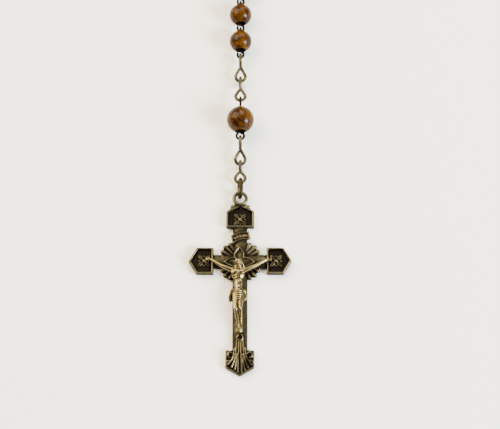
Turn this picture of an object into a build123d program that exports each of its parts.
"""Five-decade rosary: cast crucifix, wooden beads on wire eye pins, wire links and a centre medal.

Millimetres, +Z up. The rosary lies on a flat surface at z = 0 with the crucifix towards -Y
and the origin under the middle of its outline. Every wire eye is open, as it is bent by hand:
the eye nearer the medal stands upright and the eye farther from it lies flat, so neighbours
thread through each other at right angles.
"""
from build123d import *
from math import cos, hypot, pi, radians, sin, sqrt, tan
import os

os.makedirs("parts", exist_ok=True)

# ---- Driving dimensions -------------------------------------------------------------------
HAIL_MARY_D = 6.0            # small beads
OUR_FATHER_D = 7.2           # large beads
BORE_D = 1.3                 # hole through a bead
MOUTH_D = 2.7                # wide mouth that the bore opens into at each end
MOUTH_DEPTH = 0.75           # straight part of the mouth below the bead's surface
MOUTH_CONE = 1.2             # tapered part below that

PIN_WIRE = 0.65              # wire of the eye pins
LINK_WIRE = 0.70             # wire of the figure-eight links
RING_WIRE = 1.00             # wire of the jump ring on the crucifix
PLAY = 0.07                  # slack between two threaded wires

HAIL_MARY_REACH = 4.385      # bead pin: middle to the centre of the wire at the end of its eye
OUR_FATHER_REACH = 6.0
LINK_REACH = 3.70
SHORT_LINK_REACH = 3.075     # the link next to the jump ring is shorter
HAIL_MARY_EYE_R = 0.85       # centreline radii of the eyes
OUR_FATHER_EYE_R = 1.0
LINK_EYE_R = 1.3
SHORT_LINK_EYE_R = 1.15
PIN_BEND_R = 0.5             # bend where a wire leaves its axis for the eye
LINK_BEND_R = 0.5
RING_LENGTH, RING_WIDTH = 5.8, 4.2
RING_LEAN = 10               # degrees that the jump ring leans sideways

HAIL_MARY_SLIDE = 0.5        # how far a bead has slid along its pin, towards the medal
OUR_FATHER_SLIDE = -0.35

CROSS_T = 1.3                # thickness of the crucifix's fields
RIM_T = 1.8                  # thickness at its raised rims
RIM_W = 0.45
EYELET_D, EYELET_HOLE = 4.2, 3.0
EYELET_Z, EYELET_T = 1.5, 0.8
CROSS_EYELET_Y = 16.95       # eyelet above the middle of the crossing

MEDAL_W, MEDAL_H, MEDAL_T = 15.0, 18.0, 2.2
MEDAL_EYELET_D, MEDAL_HOLE = 4.0, 2.8
MEDAL_EYELET_Z, MEDAL_EYELET_T = 1.25, 0.8
TOP_EYELET_ANGLE = 46        # degrees from straight up of the medal's two upper eyelets

LINK_JUNCTION_Z = 1.78       # height where two links meet, low between the beads
MEDAL_JUNCTION_Z = 1.66      # height of a link's end inside an eyelet of the medal
LOOP_START, LOOP_SHOULDER = 46, 14   # heading of the loop at the medal and at its widest arc
TOP_GAP = 0.3                # open pivot at the far end of the loop


# ---- Vectors ------------------------------------------------------------------------------
def along(direction, origin):
    """Plane whose Y axis follows a direction and whose X axis stays level."""
    level = direction.cross(Vector(0, 0, 1)).normalized()
    return Plane(origin=origin, x_dir=level, z_dir=level.cross(direction))


# ---- Bent wire ----------------------------------------------------------------------------
def lean_of(reach, eye_r, bend_r, neck):
    """Angle of an eye's straight legs that makes its neck start at a given place on the axis."""
    low, high = radians(20), radians(80)
    for _ in range(50):
        lean = (low + high) / 2
        leg = (eye_r * cos(lean) - bend_r * (1 - cos(lean))) / sin(lean)
        start = reach - eye_r - (eye_r + bend_r) * sin(lean) - leg * cos(lean)
        low, high = (lean, high) if start < neck else (low, lean)
    return lean


def eye_edges(reach, eye_r, bend_r, neck, opening, tail, place):
    """One open eye from its neck outwards: a bend, a leg, the loop and the returning leg."""
    lean = lean_of(reach, eye_r, bend_r, neck)
    middle = reach - eye_r

    def bend(angle):
        return place(bend_r * (1 - cos(angle)), neck + bend_r * sin(angle))

    def loop(angle):
        return place(eye_r * cos(angle), middle + eye_r * sin(angle))

    stop = pi + lean - radians(opening)
    edges = [
        ThreePointArc(bend(0), bend(lean / 2), bend(lean)),
        Line(bend(lean), loop(-lean)),
        ThreePointArc(loop(-lean), loop(pi / 2), loop(stop)),
    ]
    if tail:
        end = place(-eye_r * cos(lean) + tail * sin(lean), middle - (eye_r + tail / tan(lean)) * sin(lean))
        edges.append(Line(loop(stop), end))
    return edges


def bent_wire(wire_d, eye, shank):
    """Wire with a flat eye towards -Y and an upright eye towards +Y, swept in one piece."""
    flat = eye_edges(*eye, place=lambda u, v: (u, -v, 0))
    upright = eye_edges(*eye, place=lambda u, v: (0, v, u))
    path = Wire(flat + ([Line((0, -shank, 0), (0, shank, 0))] if shank else []) + upright)
    section = Plane(origin=path @ 0, z_dir=path % 0) * Circle(wire_d / 2)
    return sweep(section, path=path)


def eye_pin(reach, eye_r):
    """Pin of a bead: a straight shank through the bore, with an eye at each end."""
    neck = reach - eye_r - 1.27
    return bent_wire(PIN_WIRE, (reach, eye_r, PIN_BEND_R, neck, 24, 0), neck)


def figure_eight(reach, eye_r):
    """Link: two long eyes that meet at the waist, where both ends of the wire stop."""
    return bent_wire(LINK_WIRE, (reach, eye_r, LINK_BEND_R, 0.0, 0, 0.95), 0)


def jump_ring():
    """Oval ring that stands upright, its long way along Y."""
    radius = (RING_WIDTH - RING_WIRE) / 2
    half = (RING_LENGTH - RING_WIDTH) / 2
    oval = Wire([
        Line((0, -half, -radius), (0, half, -radius)),
        ThreePointArc((0, half, -radius), (0, half + radius, 0), (0, half, radius)),
        Line((0, half, radius), (0, -half, radius)),
        ThreePointArc((0, -half, radius), (0, -half - radius, 0), (0, -half, -radius)),
    ])
    section = Plane(origin=(0, 0, -radius), z_dir=(0, 1, 0)) * Circle(RING_WIRE / 2)
    ring = sweep(section, path=oval)
    return ring.rotate(Axis.Y, RING_LEAN)


# ---- Beads --------------------------------------------------------------------------------
def bead(diameter):
    """Turned wooden ball: a bore along Y that opens into a wide mouth at each end."""
    r, bore, mouth = diameter / 2, BORE_D / 2, MOUTH_D / 2
    rim_y = sqrt(r * r - mouth * mouth)
    floor_y = rim_y - MOUTH_DEPTH
    bore_y = floor_y - MOUTH_CONE
    profile = [Line((bore, -bore_y), (bore, bore_y)), Line((bore, bore_y), (mouth, floor_y)),
               Line((mouth, floor_y), (mouth, rim_y)),
               ThreePointArc((mouth, rim_y), (r, 0), (mouth, -rim_y)),
               Line((mouth, -rim_y), (mouth, -floor_y)), Line((mouth, -floor_y), (bore, -bore_y))]
    return revolve(Face(Wire(profile)), Axis.Y)


# ---- Crucifix, with the middle of its crossing at x = y = 0 --------------------------------
BAR_W, SHAFT_W, ARM_H = 3.75, 3.9, 3.6
ARM_TIP, ARM_CORNER, ARM_INNER, ARM_END_H = 13.15, 11.1, 6.7, 6.65
HEAD_INNER, HEAD_CORNER, HEAD_TIP, HEAD_W = 9.0, 13.4, 14.95, 7.2
FOOT_INNER, FOOT_CORNER, FOOT_TIP, FOOT_W = 23.5, 28.0, 30.15, 7.3
NIMBUS_R, NIMBUS_VALLEY_R, NIMBUS_RAYS, NIMBUS_T = 4.85, 4.2, 28, 1.1
FOOTREST_Y, FOOTREST_R = -21.3, 1.15


def pentagon(inner, corner, tip, width):
    """End of a bar that reaches out along +Y and comes to a blunt point."""
    w = width / 2
    return Face(Wire.make_polygon([(-w, inner), (w, inner), (w, corner), (0, tip), (-w, corner)]))


def cross_outline():
    """Flat outline of the crucifix without its nimbus and eyelet."""
    arm = pentagon(ARM_INNER, ARM_CORNER, ARM_TIP, ARM_END_H)
    outline = Pos(0, (HEAD_INNER + 1) / 2, 0) * Rectangle(BAR_W, HEAD_INNER + 1)
    outline += Pos(0, -(FOOT_INNER + 1) / 2, 0) * Rectangle(SHAFT_W, FOOT_INNER + 1)
    outline += Rectangle(2 * ARM_INNER + 2, ARM_H)
    outline += pentagon(HEAD_INNER, HEAD_CORNER, HEAD_TIP, HEAD_W)
    outline += Rot(0, 0, 180) * pentagon(FOOT_INNER, FOOT_CORNER, FOOT_TIP, FOOT_W)
    outline += Rot(0, 0, 90) * arm
    outline += Rot(0, 0, -90) * arm
    return outline


def nimbus():
    """Serrated disc of rays behind the head."""
    points = []
    for i in range(2 * NIMBUS_RAYS):
        radius = NIMBUS_VALLEY_R if i % 2 else NIMBUS_R
        angle = pi * (i + 0.5) / NIMBUS_RAYS
        points.append((radius * cos(angle), radius * sin(angle)))
    return extrude(Face(Wire.make_polygon(points)), NIMBUS_T)


def field_ornament(size):
    """Lozenge with four small pellets, the plain device in each end of the bars."""
    device = Rot(0, 0, 45) * Rectangle(size, size)
    for i in range(4):
        device += Rot(0, 0, 90 * i) * Pos(size * 0.95, 0, 0) * Circle(size * 0.19)
    return device


def scroll():
    """Slanting title plate with a raised edge and a row of blank pellets."""
    length, height = 4.9, 2.5
    plate = extrude(RectangleRounded(length, height, 0.5), 2.1)
    plate -= Pos(0, 0, 1.85) * extrude(RectangleRounded(length - 0.8, height - 0.8, 0.3), 1)
    for i in range(4):
        plate += Pos(0.95 * (i - 1.5), 0, 1.85) * Cylinder(0.26, 0.4)
    return Pos(0.15, 6.0, 0) * Rot(0, 0, 16) * plate


def palmette():
    """Fluted fan that spreads down the foot of the cross."""
    root = -22.6
    ribs = []
    for angle in (-34, -17, 0, 17, 34):
        reach = 6.3 if angle == 0 else 5.9 - abs(angle) * 0.035
        rib = Pos(0, -reach / 2, 0) * extrude(Ellipse(0.42, reach / 2), 0.45)
        ribs.append(Pos(0, root + 0.8, CROSS_T - 0.05) * Rot(0, 0, angle) * rib)
    return ribs


def crucifix_cross():
    outline = cross_outline()
    cross = extrude(outline, CROSS_T)
    cross += extrude(outline - offset(outline, -RIM_W, kind=Kind.INTERSECTION), RIM_T)
    cross += nimbus()
    cross += scroll()
    for angle in (0, 90, -90):
        place = Rot(0, 0, angle) * Pos(0, (ARM_INNER + ARM_CORNER) / 2, 0)
        if angle == 0:
            place = Pos(0, (HEAD_INNER + HEAD_CORNER) / 2, 0)
        cross += place * extrude(field_ornament(1.5), RIM_T - 0.1)
    for rib in palmette():
        cross += rib
    cross += Pos(0, FOOTREST_Y, 0) * extrude(Circle(FOOTREST_R) - Circle(FOOTREST_R - 0.4), 2.5)
    for side in (-1, 1):
        cross += Pos(side * 1.8, 14.45, 1.25) * Sphere(0.75)
    eyelet = Pos(0, CROSS_EYELET_Y, EYELET_Z - EYELET_T / 2) * extrude(Circle(EYELET_D / 2), EYELET_T)
    cross += eyelet
    return cross - Pos(0, CROSS_EYELET_Y, EYELET_Z) * Cylinder(EYELET_HOLE / 2, 4)


def limb(start, end, w_start, w_end):
    """Flat outline of a tapered limb with chamfered ends."""
    start, end = Vector(*start), Vector(*end)
    ahead = (end - start).normalized()
    side = ahead.rotate(Axis.Z, 90)
    left = [start - ahead * w_start * 0.9 + side * w_start * 0.4, start + side * w_start,
            end + side * w_end, end + ahead * w_end * 0.9 + side * w_end * 0.4]
    right = [end + ahead * w_end * 0.9 - side * w_end * 0.4, end - side * w_end,
             start - side * w_start, start - ahead * w_start * 0.9 - side * w_start * 0.4]
    return Face(Wire.make_polygon([*reversed(left), *reversed(right)]))


def crucifix_corpus():
    """Plain figure in three heights: limbs, then trunk and thighs, then the head."""
    trunk = limb((-0.55, -4.0), (-0.45, -7.4), 1.9, 1.2) + limb((-0.45, -7.2), (-0.45, -9.9), 1.2, 1.75)
    thighs = limb((-1.2, -9.8), (-1.2, -13.8), 0.95, 0.75) + limb((0.35, -9.7), (0.5, -13.6), 0.95, 0.75)
    limbs = trunk + thighs + Pos(-0.55, -1.2) * RegularPolygon(1.35, 10)
    limbs += limb((-2.0, -3.1), (-5.4, -1.5), 0.72, 0.55) + limb((-5.2, -1.65), (-8.6, 0.5), 0.55, 0.42)
    limbs += limb((0.9, -3.1), (4.3, -1.3), 0.72, 0.55) + limb((4.1, -1.4), (7.7, 0.35), 0.55, 0.42)
    limbs += limb((-1.15, -13.6), (-0.1, -19.0), 0.75, 0.5) + limb((0.5, -13.4), (0.2, -19.1), 0.75, 0.5)
    limbs += limb((0.05, -18.8), (0.05, -20.0), 0.65, 0.5)
    body = Pos(0, 0, RIM_T) * extrude(limbs, 1.15)
    body += Pos(0, 0, RIM_T) * extrude(trunk + thighs, 1.85)
    head = Pos(-0.55, -1.2, RIM_T) * extrude(RegularPolygon(1.2, 10), 2.4, taper=8)
    return body + head


# ---- Centre medal -------------------------------------------------------------------------
def medal_eyelet_middle(angle):
    """Middle of an eyelet on the medal's edge, at an angle from straight up."""
    a = radians(angle)
    edge = 1 / hypot(sin(a) / (MEDAL_W / 2), cos(a) / (MEDAL_H / 2))
    return Vector(sin(a), cos(a), 0) * (edge + MEDAL_EYELET_D / 2 - 0.75)


def centre_medal():
    """Oval medal with a raised rim, a plain cross on a sunk field and three eyelets."""
    medal = extrude(Ellipse(MEDAL_W / 2, MEDAL_H / 2), MEDAL_T)
    medal = fillet(medal.edges(), 0.35)
    medal -= Pos(0, 0, MEDAL_T - 0.6) * extrude(Ellipse(MEDAL_W / 2 - 1.1, MEDAL_H / 2 - 1.1), 1)
    medal += Pos(0, 0.5, 1) * extrude(Rectangle(1.3, 9.5), MEDAL_T - 1.1)
    medal += Pos(0, 2.0, 1) * extrude(Rectangle(6.2, 1.3), MEDAL_T - 1.1)
    for i in range(12):
        angle = 30 * i + 15
        ray = Pos(0, 4.2, 1) * extrude(Ellipse(0.28, 1.3), MEDAL_T - 1.35)
        medal += Pos(0, 0.5, 0) * Rot(0, 0, angle) * ray
    for angle in (180, TOP_EYELET_ANGLE, -TOP_EYELET_ANGLE):
        place = Pos(*medal_eyelet_middle(angle)) * Pos(0, 0, MEDAL_EYELET_Z)
        medal += place * Cylinder(MEDAL_EYELET_D / 2, MEDAL_EYELET_T)
        medal -= place * Cylinder(MEDAL_HOLE / 2, 4)
    return medal


# ---- Layout -------------------------------------------------------------------------------
# A piece of the chain: its length between wire centres, its wire, and the height of its ends.
class Strung:
    """One threaded piece of a branch that leads away from the medal."""

    def __init__(self, kind, reach, wire, height):
        self.kind, self.reach, self.wire, self.height = kind, reach, wire, height
        self.near = self.far = None

    def plane(self):
        return along((self.near - self.far).normalized(), (self.near + self.far) * 0.5)


def strung(kind):
    return {
        "link": lambda: Strung(kind, LINK_REACH, LINK_WIRE, None),
        "short_link": lambda: Strung(kind, SHORT_LINK_REACH, LINK_WIRE, None),
        "hail_mary": lambda: Strung(kind, HAIL_MARY_REACH, PIN_WIRE, HAIL_MARY_D / 2),
        "our_father": lambda: Strung(kind, OUR_FATHER_REACH, PIN_WIRE, OUR_FATHER_D / 2),
        "ring": lambda: Strung(kind, (RING_LENGTH - RING_WIRE) / 2, RING_WIRE, RING_WIDTH / 2),
    }[kind]()


def end_height(piece, neighbour):
    """Height of a junction: level with a bead or the ring, or low where two links meet."""
    if piece.height is not None:
        return piece.height
    return LINK_JUNCTION_Z if neighbour is None else (neighbour.height or LINK_JUNCTION_Z)


def lay(kinds, place):
    """Lay pieces end to end along a path off the medal; place(distance) gives its points."""
    pieces = [strung(kind) for kind in kinds]
    travelled = 0
    for i, piece in enumerate(pieces):
        before = pieces[i - 1] if i else None
        after = pieces[i + 1] if i + 1 < len(pieces) else None
        near_z = end_height(piece, before) if before else MEDAL_JUNCTION_Z
        far_z = end_height(piece, after)
        run = sqrt((2 * piece.reach) ** 2 - (far_z - near_z) ** 2)
        piece.near = place(travelled) + Vector(0, 0, near_z)
        piece.far = place(travelled + run) + Vector(0, 0, far_z)
        if after:
            travelled += run - (piece.wire + after.wire) / 2 - PLAY
    return pieces


PENDANT = (["link", "link", "our_father", "link", "link"] + ["hail_mary"] * 3
           + ["link", "link", "our_father", "link", "short_link", "ring"])
HALF_LOOP = (["link", "link"] + ["hail_mary"] * 10 + ["link", "link", "our_father", "link", "link"]
             + ["hail_mary"] * 10 + ["link", "link", "our_father", "link", "link"]
             + ["hail_mary"] * 5)
EYELET_BAR = (MEDAL_EYELET_D + MEDAL_HOLE) / 4     # middle of an eyelet to the middle of its bar
LINK_IN_EYELET = 1.33        # a link's end stands this far inside the bar that it goes round
RING_IN_EYELET = 1.5


def eyelet_start(angle):
    """Where the wire of the first link stands inside an eyelet of the medal."""
    a = radians(angle)
    return medal_eyelet_middle(angle) + Vector(sin(a), cos(a), 0) * (EYELET_BAR - LINK_IN_EYELET)


def loop_place(side, big_r, distance):
    """Point of the loop: a wide arc off the medal, then a round arc over to the middle line."""
    begin = eyelet_start(TOP_EYELET_ANGLE)
    a0, a1 = radians(LOOP_START), radians(LOOP_SHOULDER)
    small_r = (begin.X + big_r * (cos(a1) - cos(a0))) / cos(a1)
    a = max(a1, a0 - distance / big_r)
    x = begin.X + big_r * (cos(a) - cos(a0))
    y = begin.Y + big_r * (sin(a0) - sin(a))
    rest = distance - big_r * (a0 - a1)
    if rest > 0:
        b = a1 - rest / small_r
        x += small_r * (cos(b) - cos(a1))
        y += small_r * (sin(a1) - sin(b))
    return Vector(side * x, y, 0)


def loop_radius():
    """Radius of the wide arc with which half a loop just reaches the middle line."""
    low, high = 100.0, 400.0
    for _ in range(40):
        big_r = (low + high) / 2
        pieces = lay(HALF_LOOP, lambda s: loop_place(1, big_r, s))
        short = pieces[-1].far.X < (PIN_WIRE + TOP_GAP) / 2
        low, high = (big_r, high) if short else (low, big_r)
    return big_r


def split_loop(pieces):
    """The groups of half a loop that share nodes: pairs of links, half decades, single beads."""
    groups, i = [], 0
    while i < len(pieces):
        size = {"link": 2, "hail_mary": 5, "our_father": 1}[pieces[i].kind]
        groups.append(pieces[i:i + size])
        i += size
    return groups


MEDAL_PATH_R = loop_radius()
pendant = lay(PENDANT, lambda s: eyelet_start(180) - Vector(0, s, 0))
loops = {name: split_loop(lay(HALF_LOOP, lambda s: loop_place(side, MEDAL_PATH_R, s)))
         for name, side in (("left", -1), ("right", 1))}
ring = pendant[-1]
cross_middle = Vector(0, ring.far.Y + RING_IN_EYELET - (EYELET_D + EYELET_HOLE) / 4
                      - CROSS_EYELET_Y, 0)

# ---- Nodes --------------------------------------------------------------------------------
SHAPES = {
    "link": figure_eight(LINK_REACH, LINK_EYE_R),
    "short_link": figure_eight(SHORT_LINK_REACH, SHORT_LINK_EYE_R),
    "hail_mary": eye_pin(HAIL_MARY_REACH, HAIL_MARY_EYE_R),
    "our_father": eye_pin(OUR_FATHER_REACH, OUR_FATHER_EYE_R),
    "ring": jump_ring(),
}
BEADS = {"hail_mary": bead(HAIL_MARY_D), "our_father": bead(OUR_FATHER_D)}
SLIDES = {"hail_mary": HAIL_MARY_SLIDE, "our_father": OUR_FATHER_SLIDE}


def wires(pieces):
    return [Location(piece.plane()) * SHAPES[piece.kind] for piece in pieces]


def strung_beads(pieces):
    return [Location(piece.plane()) * Pos(0, SLIDES[piece.kind], 0) * BEADS[piece.kind]
            for piece in pieces]


nodes = {
    "crucifix_cross": [Pos(*cross_middle) * crucifix_cross()],
    "crucifix_corpus": [Pos(*cross_middle) * crucifix_corpus()],
    "centre_medal": [centre_medal()],
}

PENDANT_NAMES = ["link_8", "link_7", "our_father_2", "link_6", "link_5", "hail_mary_3",
                 "hail_mary_2", "hail_mary_1", "link_4", "link_3", "our_father_1", "link_2",
                 "link_1", "jump_ring"]
for name, piece in zip(PENDANT_NAMES, pendant):
    if piece.kind in BEADS:
        nodes[name + "_bead"] = strung_beads([piece])
        nodes[name + "_pin"] = wires([piece])
    else:
        nodes[name] = wires([piece])

for side, groups in loops.items():
    decade, half, station = 1, 0, 1
    for number, group in enumerate(groups):
        kind = group[0].kind
        if kind == "link":
            nodes[f"{side}_links_{sum(g[0].kind == 'link' for g in groups[:number]) + 1}"] = wires(group)
        elif kind == "our_father":
            nodes[f"{side}_our_father_{station}_bead"] = strung_beads(group)
            nodes[f"{side}_our_father_{station}_pin"] = wires(group)
            station += 1
        else:
            label = f"{side}_decade_{decade}{'ab'[half]}"
            nodes[label + "_beads"] = strung_beads(group)
            nodes[label + "_pins"] = wires(group)
            decade, half = (decade + half, 1 - half)

boxes = [solid.bounding_box() for solids in nodes.values() for solid in solids]
low = [min(getattr(box.min, axis) for box in boxes) for axis in "XYZ"]
high = [max(getattr(box.max, axis) for box in boxes) for axis in "XYZ"]
TO_ORIGIN = Pos(-(low[0] + high[0]) / 2, -(low[1] + high[1]) / 2, -low[2])
for name, solids in nodes.items():
    moved = [TO_ORIGIN * solid for solid in solids]
    export_step(moved[0] if len(moved) == 1 else Compound(moved), f"parts/{name}.step")
print(len(nodes), "nodes; size", [round(h - l, 2) for h, l in zip(high, low)],
      "moved by", TO_ORIGIN.position)
